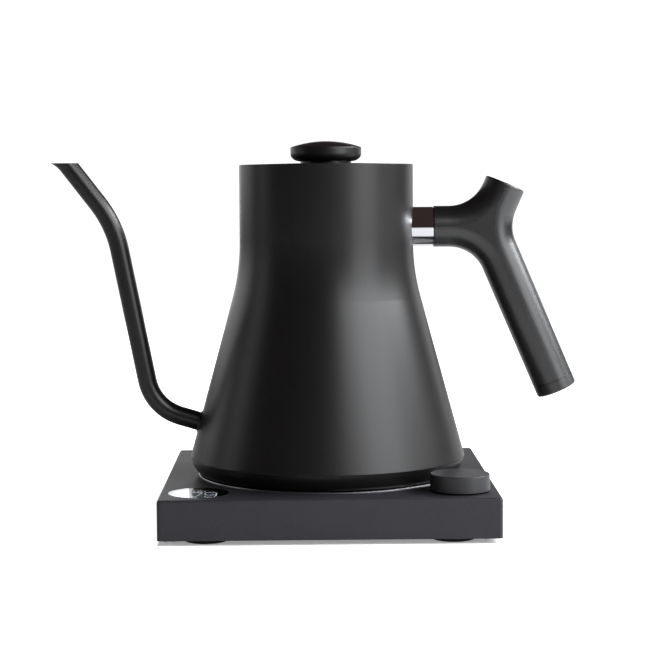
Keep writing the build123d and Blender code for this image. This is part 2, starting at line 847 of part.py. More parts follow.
def handle_screw_hole():
    """Bore for the grub screw, upwards through the neck into the stud."""
    start = along_neck(handle_screw_along) - Vector(0, 0, handle_radius)
    depth = handle_screw_recess + handle_screw_length
    return bar(start, (0, 0, 1), depth, handle_screw_radius + screw_clearance)


def handle_body():
    """Y shaped outline with wide blends, as thick as its arms, rounded along both faces until the
    arms are round; every arm overruns its end and is cut there."""
    arms = (
        (180, handle_reach - neck_start),
        (90 - horn_lean, horn_length),
        (grip_lean - 90, grip_length))
    hub = Pos(handle_reach, handle_height)
    outline = Sketch()
    for angle, length in arms:
        outline += hub * Rot(0, 0, angle) * Rectangle(
            length + handle_overrun, 2 * handle_radius, align=(Align.MIN, Align.CENTER))
    inner_corners = outline.vertices().sort_by_distance((handle_reach, handle_height, 0))[:3]
    outline = fillet(inner_corners, handle_blend_radius)
    body = extrude(Plane.XZ * outline, handle_radius, both=True)
    faces = body.faces().sort_by(Axis.Y)
    sides = (faces[0].edges() + faces[-1].edges()).filter_by(
        lambda edge: abs(edge.length - 2 * handle_radius) > handle_flat)
    body = fillet(sides, handle_radius - handle_flat / 2)
    for angle, length in arms:
        waste = Pos(length, 0) * Rectangle(
            2 * handle_overrun, 4 * handle_radius, align=(Align.MIN, Align.CENTER))
        body -= extrude(Plane.XZ * hub * Rot(0, 0, angle) * waste, 2 * handle_radius, both=True)
    return body


def handle_grip():
    """Moulded Y shaped handle: neck, upward horn and long grip, joined by wide blends."""
    body = handle_body()
    horn_face = body.faces().sort_by(Axis((0, 0, 0), horn_way))[-1]
    body = fillet(horn_face.edges(), horn_edge_radius)
    body -= bar(along_neck(ferrule_length), side_way, stud_end - neck_start, stud_radius + stud_gap)
    body -= bar(grip_end, -grip_way, spigot_length + weight_length, weight_radius + weight_gap)
    return body - handle_screw_hole()


def handle_stud():
    """Steel stud welded to the neck, which carries the handle."""
    stud = bar(along_neck(-2 * shell_wall), side_way, stud_length + 2 * shell_wall, stud_radius)
    return stud - vessel_body() - handle_screw_hole()


def handle_ferrule():
    """Chromed sleeve over the stud between the vessel and the handle's neck."""
    start = along_neck(-ferrule_radius)
    sleeve = bar(start, side_way, ferrule_length + ferrule_radius, ferrule_radius)
    sleeve = chamfer(sleeve.faces().sort_by(Axis.X)[-1].edges(), ferrule_bevel)
    sleeve -= bar(start, side_way, ferrule_length + ferrule_radius, stud_radius + stud_gap)
    return sleeve - vessel_body()


def handle_screw():
    """Grub screw that locks the handle on its stud."""
    start = along_neck(handle_screw_along)
    start = Vector(start.X, 0, screw_seat)
    return bar(start, (0, 0, 1), handle_screw_length, handle_screw_radius)


def handle_weight():
    """Steel counterweight in the grip's bore."""
    return bar(weight_start, grip_way, weight_length, weight_radius)


def handle_end_cap():
    """Cap on the grip's lower end, set off by a narrow groove, with a spigot in the bore."""
    cap = bar(grip_end + grip_way * end_cap_groove, grip_way, end_cap_length - end_cap_groove,
              handle_radius)
    cap = fillet(cap.faces().sort_by(Axis.Z)[0].edges(), end_cap_edge_radius)
    cap += bar(grip_end, grip_way, end_cap_groove, handle_radius - end_cap_groove_depth)
    return cap + bar(grip_end - grip_way * spigot_length, grip_way, spigot_length, weight_radius)


# ---------------------------------------------------------------- lid
knob_bottom = lid_top
knob_under = knob_bottom + knob_neck_height
knob_side = knob_under + knob_under_height
knob_shoulder = knob_side + knob_side_height
knob_top = knob_shoulder + knob_dome_height


def lid_plate():
    """Steel lid: flat land under the knob, gently falling top, rounded edge and a skirt."""
    land = knob_neck_radius + lid_skirt_wall
    halfway = (land + lid_radius) / 2
    crown = ThreePointArc((land, 0, lid_top), (halfway, 0, rim_height + 0.62 * lid_dome),
                          (lid_radius, 0, rim_height))
    inside = lid_radius - lid_skirt_wall
    rest = Polyline((lid_radius, 0, rim_height), (lid_radius, 0, lid_skirt_bottom),
                    (inside, 0, lid_skirt_bottom), (inside, 0, lid_under), (0, 0, lid_under),
                    (0, 0, lid_top), (land, 0, lid_top))
    plate = turned(crown, rest)
    rim = plate.edges().filter_by(GeomType.CIRCLE).filter_by(
        lambda edge: abs(edge.radius - lid_radius) < 0.01).sort_by(Axis.Z)[-1]
    plate = fillet(rim, lid_edge_radius)
    plate -= disc(knob_screw_radius + screw_clearance, lid_under, lid_top)
    return plate - disc(vent_radius, lid_under, lid_top, x=-vent_place)


def lid_inner_cup():
    """Thin cup under the lid that dips into the neck and keeps it centred."""
    cup = disc(lid_cup_radius, lid_cup_bottom, lid_under)
    cup -= disc(lid_cup_radius - lid_cup_wall, lid_cup_bottom + lid_cup_wall, lid_under)
    return cup - disc(vent_radius, lid_cup_bottom, lid_under, x=-vent_place)


def lid_gasket():
    """Silicone ring under the skirt; it rests on the ledge."""
    return tube(lid_radius, lid_cup_radius + window_gap, ledge_top, lid_skirt_bottom)


def lid_knob():
    """Mushroom knob: short neck, rounded underside, upright edge and a low dome."""
    under = EllipticalCenterArc((knob_neck_radius, knob_side), knob_radius - knob_neck_radius,
                                knob_under_height, start_angle=270, arc_size=90)
    under = Rot(90, 0, 0) * under
    edge = (knob_radius, 0, knob_shoulder)
    dome_radius = (knob_radius ** 2 + knob_dome_height ** 2) / (2 * knob_dome_height)
    half = knob_radius / 2
    half_height = knob_top - dome_radius + sqrt(dome_radius ** 2 - half ** 2)
    dome = ThreePointArc(edge, (half, 0, half_height), (0, 0, knob_top))
    knob = turned(Line((0, 0, knob_bottom), (knob_neck_radius, 0, knob_bottom)),
                  Line((knob_neck_radius, 0, knob_bottom), (knob_neck_radius, 0, knob_under)),
                  under, Line((knob_radius, 0, knob_side), edge), dome,
                  Line((0, 0, knob_top), (0, 0, knob_bottom)))
    rims = knob.edges().filter_by(GeomType.CIRCLE).filter_by(
        lambda ring: abs(ring.radius - knob_radius) < 0.01)
    knob = fillet(rims.sort_by(Axis.Z)[-1], knob_edge_radius)
    return knob - disc(knob_screw_radius + screw_clearance, knob_bottom,
                       knob_bottom + knob_screw_bite + screw_clearance)


def knob_screw():
    """Screw from inside the lid into the knob."""
    return screw_up(0, 0, lid_under - knob_screw_head_height, knob_bottom + knob_screw_bite,
                    knob_screw_radius, knob_screw_head_radius, knob_screw_head_height)


# ---------------------------------------------------------------- assembly and export
def base_parts():
    """Everything that is drawn in heights above the table."""
    found = {
        "base_housing": base_housing(),
        "bottom_plate": bottom_plate(),
        "base_screws": base_screws(),
        "seat_ring": seat_ring(),
        "plug_housing": plug_housing(),
        "plug_earth_contact": plug_earth_contact(),
        "plug_live_contact": plug_contact(inner_slot_radius),
        "plug_neutral_contact": plug_contact(outer_slot_radius),
        "display_window": display_window(),
        "display_frame": display_frame(),
        "display_panel": display_panel(),
        "control_board": control_board(),
        "encoder_body": encoder_body(),
        "power_board": power_board(),
        "power_relay": on_board(relay_size, relay_place),
        "power_transformer": on_board(transformer_size, transformer_place),
        "terminal_block": on_board(terminal_size, terminal_place),
        "filter_capacitor": filter_capacitor(),
        "board_screws": board_screws(),
        "mains_leads": mains_leads(),
        "plug_leads": plug_leads(),
        "hold_switch_body": hold_switch_body(),
        "hold_slider": hold_slider(),
        "cord_gland": cord_gland(),
        "encoder_plunger": encoder_plunger(),
        "dial_shaft": dial_shaft(),
        "control_dial": control_dial()}
    for name, sides in foot_places.items():
        found[name] = foot(*sides)
    return found


def kettle_parts():
    """Everything that is drawn in heights above the base's top."""
    return {
        "coupler_housing": coupler_housing(),
        "coupler_earth_pin": coupler_earth_pin(),
        "coupler_inner_ring": coupler_ring(inner_slot_radius),
        "coupler_outer_ring": coupler_ring(outer_slot_radius),
        "vessel_shell": vessel_shell(),
        "rim_ledge": rim_ledge(),
        "vessel_floor": vessel_floor(),
        "spout": spout(),
        "heater_plate": heater_plate(),
        "heater_element": heater_element(),
        "thermal_cutout": thermal_cutout(),
        "heater_leads": heater_leads(),
        "temperature_probe": temperature_probe(),
        "probe_seal": probe_seal(),
        "base_cover": base_cover(),
        "cover_gasket": cover_gasket(),
        "cover_screws": cover_screws(),
        "handle_grip": handle_grip(),
        "handle_stud": handle_stud(),
        "handle_ferrule": handle_ferrule(),
        "handle_screw": handle_screw(),
        "handle_weight": handle_weight(),
        "handle_end_cap": handle_end_cap(),
        "lid_plate": lid_plate(),
        "lid_inner_cup": lid_inner_cup(),
        "lid_gasket": lid_gasket(),
        "lid_knob": lid_knob(),
        "knob_screw": knob_screw()}


os.makedirs("parts", exist_ok=True)
for name, shape in base_parts().items():
    export_step(Pos(axis_x, 0, 0) * shape, f"parts/{name}.step")
for name, shape in kettle_parts().items():
    export_step(Pos(axis_x, 0, base_top) * shape, f"parts/{name}.step")
print(f"kettle axis at x {axis_x:.3f}, base top {base_top:.2f}, spout reach {spout_reach:.2f}, "
      f"handle reach {handle_far_side:.2f}, cone angle {degrees(cone_angle):.2f}")
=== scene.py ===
import bpy
import bmesh
from math import cos, pi, radians, sin
from mathutils import Matrix, Vector
from mathutils.bvhtree import BVHTree


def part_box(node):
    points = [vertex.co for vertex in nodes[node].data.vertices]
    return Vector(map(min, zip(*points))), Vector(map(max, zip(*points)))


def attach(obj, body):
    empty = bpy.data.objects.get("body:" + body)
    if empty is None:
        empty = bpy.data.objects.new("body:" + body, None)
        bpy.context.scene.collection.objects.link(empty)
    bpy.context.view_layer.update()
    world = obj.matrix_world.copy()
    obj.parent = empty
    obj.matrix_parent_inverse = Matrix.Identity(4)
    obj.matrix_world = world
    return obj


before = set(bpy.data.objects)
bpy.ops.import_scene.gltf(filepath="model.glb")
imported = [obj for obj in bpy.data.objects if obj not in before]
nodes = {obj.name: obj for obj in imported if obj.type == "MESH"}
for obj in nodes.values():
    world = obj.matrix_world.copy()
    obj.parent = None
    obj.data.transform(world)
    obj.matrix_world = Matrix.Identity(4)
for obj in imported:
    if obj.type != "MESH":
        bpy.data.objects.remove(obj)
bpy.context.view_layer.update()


# ---- Base: housing, bottom plate and hold switch slider
# Injection moulded in black ABS from spark-eroded moulds, which leave an even matte grain.
# The plate closes the housing from below, held by four screws in its corners.
def number_socket(group, name, value):
    """Gives a node group a number input with its starting value."""
    socket = group.interface.new_socket(name, in_out="INPUT", socket_type="NodeSocketFloat")
    socket.default_value = value


def grain_group():
    """Fine grain with slow cloudy changes of shade and gloss, as on moulded and coated pieces."""
    group = bpy.data.node_groups.new("surface_grain", "ShaderNodeTree")
    colour_in = group.interface.new_socket("Color", in_out="INPUT", socket_type="NodeSocketColor")
    colour_in.default_value = (0.03, 0.03, 0.03, 1.0)
    number_socket(group, "Grains per Metre", 2000.0)
    number_socket(group, "Clouds per Metre", 30.0)
    number_socket(group, "Shade Change", 0.1)
    number_socket(group, "Roughness", 0.5)
    number_socket(group, "Roughness Change", 0.05)
    group.interface.new_socket("Color", in_out="OUTPUT", socket_type="NodeSocketColor")
    group.interface.new_socket("Roughness", in_out="OUTPUT", socket_type="NodeSocketFloat")
    group.interface.new_socket("Height", in_out="OUTPUT", socket_type="NodeSocketFloat")
    new, link = group.nodes.new, group.links.new
    enter, leave = new("NodeGroupInput"), new("NodeGroupOutput")
    place = new("ShaderNodeTexCoord")
    grain, cloud = new("ShaderNodeTexNoise"), new("ShaderNodeTexNoise")
    kinds = ((grain, "Grains per Metre", 2.0), (cloud, "Clouds per Metre", 5.0))
    for noise, fineness, detail in kinds:
        noise.inputs["Detail"].default_value = detail
        link(place.outputs["Object"], noise.inputs["Vector"])
        link(enter.outputs[fineness], noise.inputs["Scale"])

    def swing(source, amount, middle):
        """The noise, centred on zero, times the amount, added to the middle value."""
        centred = new("ShaderNodeMath")
        centred.operation = "MULTIPLY_ADD"
        centred.inputs[1].default_value = 2.0
        centred.inputs[2].default_value = -1.0
        link(source, centred.inputs[0])
        sized = new("ShaderNodeMath")
        sized.operation = "MULTIPLY_ADD"
        sized.use_clamp = True
        link(centred.outputs[0], sized.inputs[0])
        link(amount, sized.inputs[1])
        if isinstance(middle, float):
            sized.inputs[2].default_value = middle
        else:
            link(middle, sized.inputs[2])
        return sized.outputs[0]

    both = new("ShaderNodeMix")
    both.inputs["Factor"].default_value = 0.4
    link(grain.outputs["Fac"], both.inputs["A"])
    link(cloud.outputs["Fac"], both.inputs["B"])
    half_shade = swing(both.outputs["Result"], enter.outputs["Shade Change"], 0.5)
    shade = new("ShaderNodeVectorMath")
    shade.operation = "SCALE"
    link(enter.outputs["Color"], shade.inputs[0])
    link(half_shade, shade.inputs["Scale"])
    full = new("ShaderNodeVectorMath")
    full.operation = "SCALE"
    full.inputs["Scale"].default_value = 2.0
    link(shade.outputs[0], full.inputs[0])
    link(full.outputs[0], leave.inputs["Color"])
    gloss = swing(cloud.outputs["Fac"], enter.outputs["Roughness Change"],
                  enter.outputs["Roughness"])
    link(gloss, leave.inputs["Roughness"])
    link(grain.outputs["Fac"], leave.inputs["Height"])
    return group


surface_grain = grain_group()


def blank_material(name):
    """New material; returns it with its node tree and its Principled shader."""
    material = bpy.data.materials.new(name)
    material.use_nodes = True
    return material, material.node_tree, material.node_tree.nodes["Principled BSDF"]


def grained(name, colour, roughness, grains, relief, shade=0.12, gloss_change=0.06, clouds=30.0,
            metallic=0.0, specular=0.5):
    """Grained finish: so many grains to the metre, each of a relief in metres."""
    material, tree, shader = blank_material(name)
    grain = tree.nodes.new("ShaderNodeGroup")
    grain.node_tree = surface_grain
    grain.inputs["Color"].default_value = (*colour, 1.0)
    grain.inputs["Grains per Metre"].default_value = grains
    grain.inputs["Clouds per Metre"].default_value = clouds
    grain.inputs["Shade Change"].default_value = shade
    grain.inputs["Roughness"].default_value = roughness
    grain.inputs["Roughness Change"].default_value = gloss_change
    bump = tree.nodes.new("ShaderNodeBump")
    bump.inputs["Distance"].default_value = relief
    tree.links.new(grain.outputs["Height"], bump.inputs["Height"])
    tree.links.new(bump.outputs["Normal"], shader.inputs["Normal"])
    tree.links.new(grain.outputs["Color"], shader.inputs["Base Color"])
    tree.links.new(grain.outputs["Roughness"], shader.inputs["Roughness"])
    shader.inputs["Metallic"].default_value = metallic
    shader.inputs["Specular IOR Level"].default_value = specular
    return material


def finish(material, *names):
    """Gives CAD nodes their finish."""
    for name in names:
        nodes[name].data.materials.clear()
        nodes[name].data.materials.append(material)


base_plastic = grained("base_plastic", (0.0215, 0.0205, 0.0257), 0.50, 1500.0, 0.000012,
                       shade=0.40, gloss_change=0.10)
finish(base_plastic, "base_housing", "bottom_plate", "hold_slider", "cord_gland")

# ---- Base: rubber feet
# Four flat discs die-cut from black rubber sheet and glued into round seats in the bottom plate.
# Their cut faces are dull and slightly open.
foot_rubber = grained("foot_rubber", (0.010, 0.010, 0.010), 0.72, 1200.0, 0.00003, shade=0.25)
finish(foot_rubber, "foot_front_left", "foot_front_right", "foot_rear_left", "foot_rear_right")


# ---- Metal: screws, studs, shaft and bare steel pieces
# Spun, turned and drawn pieces keep fine lines round the kettle's centre line from the tool.
# Screws and studs are bought in, zinc plated and slightly dull.
def lay_group():
    """Fine lines round an upright centre line, as a lathe tool or spinning roller leaves them."""
    group = bpy.data.node_groups.new("turning_lines", "ShaderNodeTree")
    number_socket(group, "Centre X", 0.0)
    number_socket(group, "Lines per Metre", 4000.0)
    number_socket(group, "Roughness", 0.3)
    number_socket(group, "Roughness Change", 0.1)
    group.interface.new_socket("Roughness", in_out="OUTPUT", socket_type="NodeSocketFloat")
    group.interface.new_socket("Height", in_out="OUTPUT", socket_type="NodeSocketFloat")
    new, link = group.nodes.new, group.links.new
    enter, leave = new("NodeGroupInput"), new("NodeGroupOutput")
    place, split = new("ShaderNodeTexCoord"), new("ShaderNodeSeparateXYZ")
    link(place.outputs["Object"], split.inputs[0])
    across = new("ShaderNodeMath")
    across.operation = "SUBTRACT"
    link(split.outputs["X"], across.inputs[0])
    link(enter.outputs["Centre X"], across.inputs[1])
    flat, radius = new("ShaderNodeCombineXYZ"), new("ShaderNodeVectorMath")
    radius.operation = "LENGTH"
    link(across.outputs[0], flat.inputs["X"])
    link(split.outputs["Y"], flat.inputs["Y"])
    link(flat.outputs[0], radius.inputs[0])
    ring = new("ShaderNodeCombineXYZ")
    link(radius.outputs["Value"], ring.inputs["X"])
    link(split.outputs["Z"], ring.inputs["Z"])
    lines = new("ShaderNodeTexNoise")
    lines.inputs["Detail"].default_value = 2.0
    link(ring.outputs[0], lines.inputs["Vector"])
    link(enter.outputs["Lines per Metre"], lines.inputs["Scale"])
    change = new("ShaderNodeMath")
    change.operation = "MULTIPLY_ADD"
    link(lines.outputs["Fac"], change.inputs[0])
    link(enter.outputs["Roughness Change"], change.inputs[1])
    link(enter.outputs["Roughness"], change.inputs[2])
    link(change.outputs[0], leave.inputs["Roughness"])
    link(lines.outputs["Fac"], leave.inputs["Height"])
    return group


turning_lines = lay_group()


def turned_metal(name, colour, roughness, centre_x, lines=4000.0, relief=0.000003, change=0.12):
    """Metal with turning lines round the upright line at centre_x, y 0."""
    material, tree, shader = blank_material(name)
    lay = tree.nodes.new("ShaderNodeGroup")
    lay.node_tree = turning_lines
    lay.inputs["Centre X"].default_value = centre_x
    lay.inputs["Lines per Metre"].default_value = lines
    lay.inputs["Roughness"].default_value = roughness
    lay.inputs["Roughness Change"].default_value = change
    bump = tree.nodes.new("ShaderNodeBump")
    bump.inputs["Distance"].default_value = relief
    tree.links.new(lay.outputs["Height"], bump.inputs["Height"])
    tree.links.new(bump.outputs["Normal"], shader.inputs["Normal"])
    tree.links.new(lay.outputs["Roughness"], shader.inputs["Roughness"])
    shader.inputs["Base Color"].default_value = (*colour, 1.0)
    shader.inputs["Metallic"].default_value = 1.0
    return material


shell_low, shell_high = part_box("vessel_shell")
axis_x = (shell_low.x + shell_high.x) / 2
steel_colour = (0.60, 0.59, 0.57)
steel_roughness = 0.22

bright_steel = turned_metal("bright_steel", steel_colour, steel_roughness, axis_x)
finish(bright_steel, "rim_ledge", "vessel_floor", "lid_inner_cup", "temperature_probe",
       "coupler_earth_pin")
plated_steel = grained("plated_steel", (0.56, 0.56, 0.58), 0.30, 1400.0, 0.000004, metallic=1.0)
finish(plated_steel, "base_screws", "board_screws", "cover_screws", "handle_screw", "knob_screw",
       "handle_stud", "handle_weight", "dial_shaft")

# ---- Base: connector tower, its contacts and the bright ring round the kettle's place
# Heat-proof black nylon with sprung brass contacts, and a turned steel ring pressed into the roof.
# The ring is polished after turning, which leaves faint lines that blur what it mirrors.
connector_nylon = grained("connector_nylon", (0.014, 0.014, 0.014), 0.42, 2200.0, 0.00001)
finish(connector_nylon, "plug_housing", "coupler_housing")
contact_brass = turned_metal("contact_brass", (0.73, 0.53, 0.26), 0.24, axis_x)
finish(contact_brass, "plug_earth_contact", "plug_live_contact", "plug_neutral_contact",
       "coupler_inner_ring", "coupler_outer_ring")
polished_steel = turned_metal("polished_steel", (0.62, 0.62, 0.63), 0.26, axis_x, relief=0.0000005,
                              change=0.06)
finish(polished_steel, "seat_ring")

# ---- Base: display
# A light-emitting panel in a black moulded holder, seen through a thick round glass let into the
# roof. The lit strokes are raised a hair above the panel, two figures with small marks round them.
window_low, window_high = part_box("display_window")
panel_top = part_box("display_panel")[1].z
display_centre = (window_low + window_high) / 2

window_glass, tree, shader = blank_material("window_glass")
shader.inputs["Base Color"].default_value = (0.82, 0.85, 0.88, 1.0)
shader.inputs["Transmission Weight"].default_value = 1.0
shader.inputs["IOR"].default_value = 1.5
smears = tree.nodes.new("ShaderNodeGroup")
smears.node_tree = surface_grain
smears.inputs["Clouds per Metre"].default_value = 140.0
smears.inputs["Roughness"].default_value = 0.015
smears.inputs["Roughness Change"].default_value = 0.02
tree.links.new(smears.outputs["Roughness"], shader.inputs["Roughness"])
finish(window_glass, "display_window")
display_black = grained("display_black", (0.0015, 0.0015, 0.0018), 0.22, 900.0, 0.0, shade=0.2)
finish(display_black, "display_panel")
dark_plastic = grained("dark_plastic", (0.012, 0.012, 0.013), 0.5, 1800.0, 0.00001)
finish(dark_plastic, "display_frame", "hold_switch_body", "encoder_body", "encoder_plunger")

glow, tree, shader = blank_material("display_glow")
shader.inputs["Base Color"].default_value = (0.5, 0.5, 0.5, 1.0)
shader.inputs["Roughness"].default_value = 0.4
shader.inputs["Emission Strength"].default_value = 1.7
dots = tree.nodes.new("ShaderNodeTexNoise")
dots.inputs["Scale"].default_value = 1500.0
place = tree.nodes.new("ShaderNodeTexCoord")
tree.links.new(place.outputs["Object"], dots.inputs["Vector"])
glow_shade = tree.nodes.new("ShaderNodeMix")
glow_shade.data_type = "RGBA"
glow_shade.inputs["A"].default_value = (0.72, 0.80, 0.95, 1.0)
glow_shade.inputs["B"].default_value = (1.0, 1.0, 1.0, 1.0)
tree.links.new(dots.outputs["Fac"], glow_shade.inputs["Factor"])
tree.links.new(glow_shade.outputs["Result"], shader.inputs["Emission Color"])

stroke_radius = 0.00017
stroke_height = 0.00005


def add_piece(name, mesh, body, material):
    """Puts a mesh in the scene as a piece of one body and finish."""
    piece = bpy.data.objects.new(name, mesh)
    bpy.context.scene.collection.objects.link(piece)
    mesh.materials.clear()
    mesh.materials.append(material)
    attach(piece, body)
    return piece


def display_strokes(name, size, across, along, *strokes):
    """Lit strokes on the panel, each through points given as shares of the figure's size."""
    line = bpy.data.curves.new(name + "_line", "CURVE")
    line.dimensions = "3D"
    line.bevel_depth = stroke_radius
    line.bevel_resolution = 2
    line.use_fill_caps = True
    for points in strokes:
        stroke = line.splines.new("NURBS")
        stroke.points.add(len(points) - 1)
        for point, (share_x, share_y) in zip(stroke.points, points):
            point.co = (share_x * size[0], share_y * size[1], 0.0, 1.0)
        stroke.order_u = min(3, len(points))
        stroke.use_endpoint_u = True
    holder = bpy.data.objects.new(name + "_line", line)
    bpy.context.scene.collection.objects.link(holder)
    mesh = bpy.data.meshes.new_from_object(holder)
    bpy.data.objects.remove(holder)
    mesh.transform(Matrix.Diagonal((1.0, 1.0, stroke_height / stroke_radius, 1.0)))
    mesh.transform(Matrix.Translation((display_centre.x + across, display_centre.y + along,
                                       panel_top + 2 * stroke_height)))
    return add_piece(name, mesh, "base", glow)


figure_foot = -0.0078
figure_height = 0.0140
seven = ((0.0, 1.0), (1.0, 1.0), (1.0, 0.98), (0.35, 0.0))
nine_bowl = ((1.0, 0.75), (1.0, 1.0), (0.5, 1.0), (0.0, 1.0), (0.0, 0.75),
             (0.0, 0.48), (0.5, 0.48), (1.0, 0.48), (1.0, 0.75))
nine_tail = ((1.0, 0.75), (1.0, 0.0), (0.5, 0.0), (0.1, 0.0), (0.0, 0.2))
display_strokes("display_seven", (0.0052, figure_height), -0.0035, figure_foot, seven)
display_strokes("display_nine", (0.0058, figure_height), 0.0032, figure_foot, nine_bowl, nine_tail)

mark_size = (0.0013, 0.0022)
mark_pitch = 0.0017
first_mark = -0.0030
mark_foot = 0.0088
hook = ((0.0, 1.0), (0.0, 0.0), (0.6, 0.4))
corner = ((0.0, 0.0), (0.6, 0.0), (0.6, 1.0))
for step, mark in enumerate((hook, corner, hook, corner)):
    display_strokes("display_small_mark_%d" % (step + 1), mark_size,
                    first_mark + mark_pitch * step, mark_foot, mark)
ring_loop = ((0.5, 0.0), (1.0, 0.0), (1.0, 1.0), (0.0, 1.0), (0.0, 0.0), (0.5, 0.0))
display_strokes("display_unit_ring", (0.0018, 0.0018), -0.0020, -0.0112, ring_loop)

# ---- Base: dial
# Moulded cap pressed on the encoder's shaft, in the base's plastic but with a finer satin grain on
# its top and side.
dial_plastic = grained("dial_plastic", (0.026, 0.026, 0.029), 0.42, 2400.0, 0.000008, shade=0.3,
                       gloss_change=0.08)
finish(dial_plastic, "control_dial")

# ---- Base: circuit boards, relay, transformer, capacitor and terminals
# Etched glass-fibre boards: green solder mask over copper tracks that stand out a little. The
# parts on them have moulded or taped cases in blue, brown, yellow and green.
board_green, tree, shader = blank_material("board_green")
place = tree.nodes.new("ShaderNodeTexCoord")
tracks = tree.nodes.new("ShaderNodeTexVoronoi")
tracks.feature = "DISTANCE_TO_EDGE"
tracks.inputs["Scale"].default_value = 420.0
tree.links.new(place.outputs["Object"], tracks.inputs["Vector"])
on_track = tree.nodes.new("ShaderNodeMapRange")
on_track.inputs["From Min"].default_value = 0.10
on_track.inputs["From Max"].default_value = 0.14
tree.links.new(tracks.outputs["Distance"], on_track.inputs["Value"])
mask_shade = tree.nodes.new("ShaderNodeMix")
mask_shade.data_type = "RGBA"
mask_shade.inputs["A"].default_value = (0.030, 0.150, 0.055, 1.0)
mask_shade.inputs["B"].default_value = (0.010, 0.070, 0.028, 1.0)
tree.links.new(on_track.outputs["Result"], mask_shade.inputs["Factor"])
tree.links.new(mask_shade.outputs["Result"], shader.inputs["Base Color"])
track_bump = tree.nodes.new("ShaderNodeBump")
track_bump.inputs["Distance"].default_value = 0.00003
track_bump.invert = True
tree.links.new(on_track.outputs["Result"], track_bump.inputs["Height"])
tree.links.new(track_bump.outputs["Normal"], shader.inputs["Normal"])
shader.inputs["Roughness"].default_value = 0.3
finish(board_green, "control_board", "power_board")
for node, name, colour, roughness, relief in (
        ("power_relay", "relay_case", (0.010, 0.045, 0.150), 0.35, 0.000005),
        ("power_transformer", "transformer_case", (0.100, 0.075, 0.020), 0.45, 0.00001),
        ("filter_capacitor", "capacitor_case", (0.180, 0.125, 0.010), 0.30, 0.000005),
        ("terminal_block", "terminal_case", (0.020, 0.160, 0.050), 0.40, 0.000005)):
    finish(grained(name, colour, roughness, 1600.0, relief), node)


# ---- Wiring: mains leads, plug leads and heater leads
# Stranded copper in extruded insulation, slightly glossy. One lead of each pair is brown and the
# other blue; the heater's leads have pale glass-fibre sleeves.
def lead_pair(name, middle_x):
    """Insulation for two leads: brown on the right of the plane x = middle_x, blue on the left."""
    material, tree, shader = blank_material(name)
    place, split = tree.nodes.new("ShaderNodeTexCoord"), tree.nodes.new("ShaderNodeSeparateXYZ")
    tree.links.new(place.outputs["Object"], split.inputs[0])
    side = tree.nodes.new("ShaderNodeMath")
    side.operation = "GREATER_THAN"
    side.inputs[1].default_value = middle_x
    tree.links.new(split.outputs["X"], side.inputs[0])
    colours = tree.nodes.new("ShaderNodeMix")
    colours.data_type = "RGBA"
    colours.inputs["A"].default_value = (0.010, 0.045, 0.220, 1.0)
    colours.inputs["B"].default_value = (0.130, 0.040, 0.012, 1.0)
    tree.links.new(side.outputs[0], colours.inputs["Factor"])
    grain = tree.nodes.new("ShaderNodeGroup")
    grain.node_tree = surface_grain
    grain.inputs["Grains per Metre"].default_value = 900.0
    grain.inputs["Roughness"].default_value = 0.38
    tree.links.new(colours.outputs["Result"], grain.inputs["Color"])
    tree.links.new(grain.outputs["Color"], shader.inputs["Base Color"])
    tree.links.new(grain.outputs["Roughness"], shader.inputs["Roughness"])
    return material


finish(lead_pair("mains_insulation", axis_x), "mains_leads")
finish(lead_pair("plug_insulation", axis_x), "plug_leads")
heater_sleeve = grained("heater_insulation", (0.55, 0.50, 0.44), 0.6, 900.0, 0.00002, shade=0.2)
finish(heater_sleeve, "heater_leads")

# ---- Kettle: vessel, spout and lid plate
# Spun and drawn steel sheet, welded, then sprayed with black powder that bakes to a fine orange
# peel. The coat stops at the rim, so the inside of the vessel is bare spun steel.
powder_coat = grained("powder_coat", (0.0075, 0.0070, 0.0070), 0.34, 2600.0, 0.0000012,
                      shade=0.3, gloss_change=0.03, clouds=16.0)
finish(powder_coat, "spout", "lid_plate")

faces_inward = -0.002
vessel_finish = powder_coat.copy()
vessel_finish.name = "vessel_coat_and_steel"
tree = vessel_finish.node_tree
shader = tree.nodes["Principled BSDF"]
place = tree.nodes.new("ShaderNodeTexCoord")
from_axis = tree.nodes.new("ShaderNodeVectorMath")
from_axis.operation = "SUBTRACT"
from_axis.inputs[1].default_value = (axis_x, 0.0, 0.0)
tree.links.new(place.outputs["Object"], from_axis.inputs[0])
flat = tree.nodes.new("ShaderNodeVectorMath")
flat.operation = "MULTIPLY"
flat.inputs[1].default_value = (1.0, 1.0, 0.0)
tree.links.new(from_axis.outputs[0], flat.inputs[0])
facing = tree.nodes.new("ShaderNodeVectorMath")
facing.operation = "DOT_PRODUCT"
tree.links.new(flat.outputs[0], facing.inputs[0])
tree.links.new(place.outputs["Normal"], facing.inputs[1])
bare = tree.nodes.new("ShaderNodeMath")
bare.operation = "LESS_THAN"
bare.inputs[1].default_value = faces_inward
tree.links.new(facing.outputs["Value"], bare.inputs[0])
lay = tree.nodes.new("ShaderNodeGroup")
lay.node_tree = turning_lines
lay.inputs["Centre X"].default_value = axis_x
lay.inputs["Roughness"].default_value = steel_roughness
steel_shade = tree.nodes.new("ShaderNodeMix")
steel_shade.data_type = "RGBA"
steel_shade.inputs["B"].default_value = (*steel_colour, 1.0)
grain = next(node for node in tree.nodes
             if node.type == "GROUP" and node.node_tree == surface_grain)
tree.links.new(grain.outputs["Color"], steel_shade.inputs["A"])
tree.links.new(bare.outputs[0], steel_shade.inputs["Factor"])
tree.links.new(steel_shade.outputs["Result"], shader.inputs["Base Color"])
steel_gloss = tree.nodes.new("ShaderNodeMix")
tree.links.new(bare.outputs[0], steel_gloss.inputs["Factor"])
tree.links.new(grain.outputs["Roughness"], steel_gloss.inputs["A"])
tree.links.new(lay.outputs["Roughness"], steel_gloss.inputs["B"])
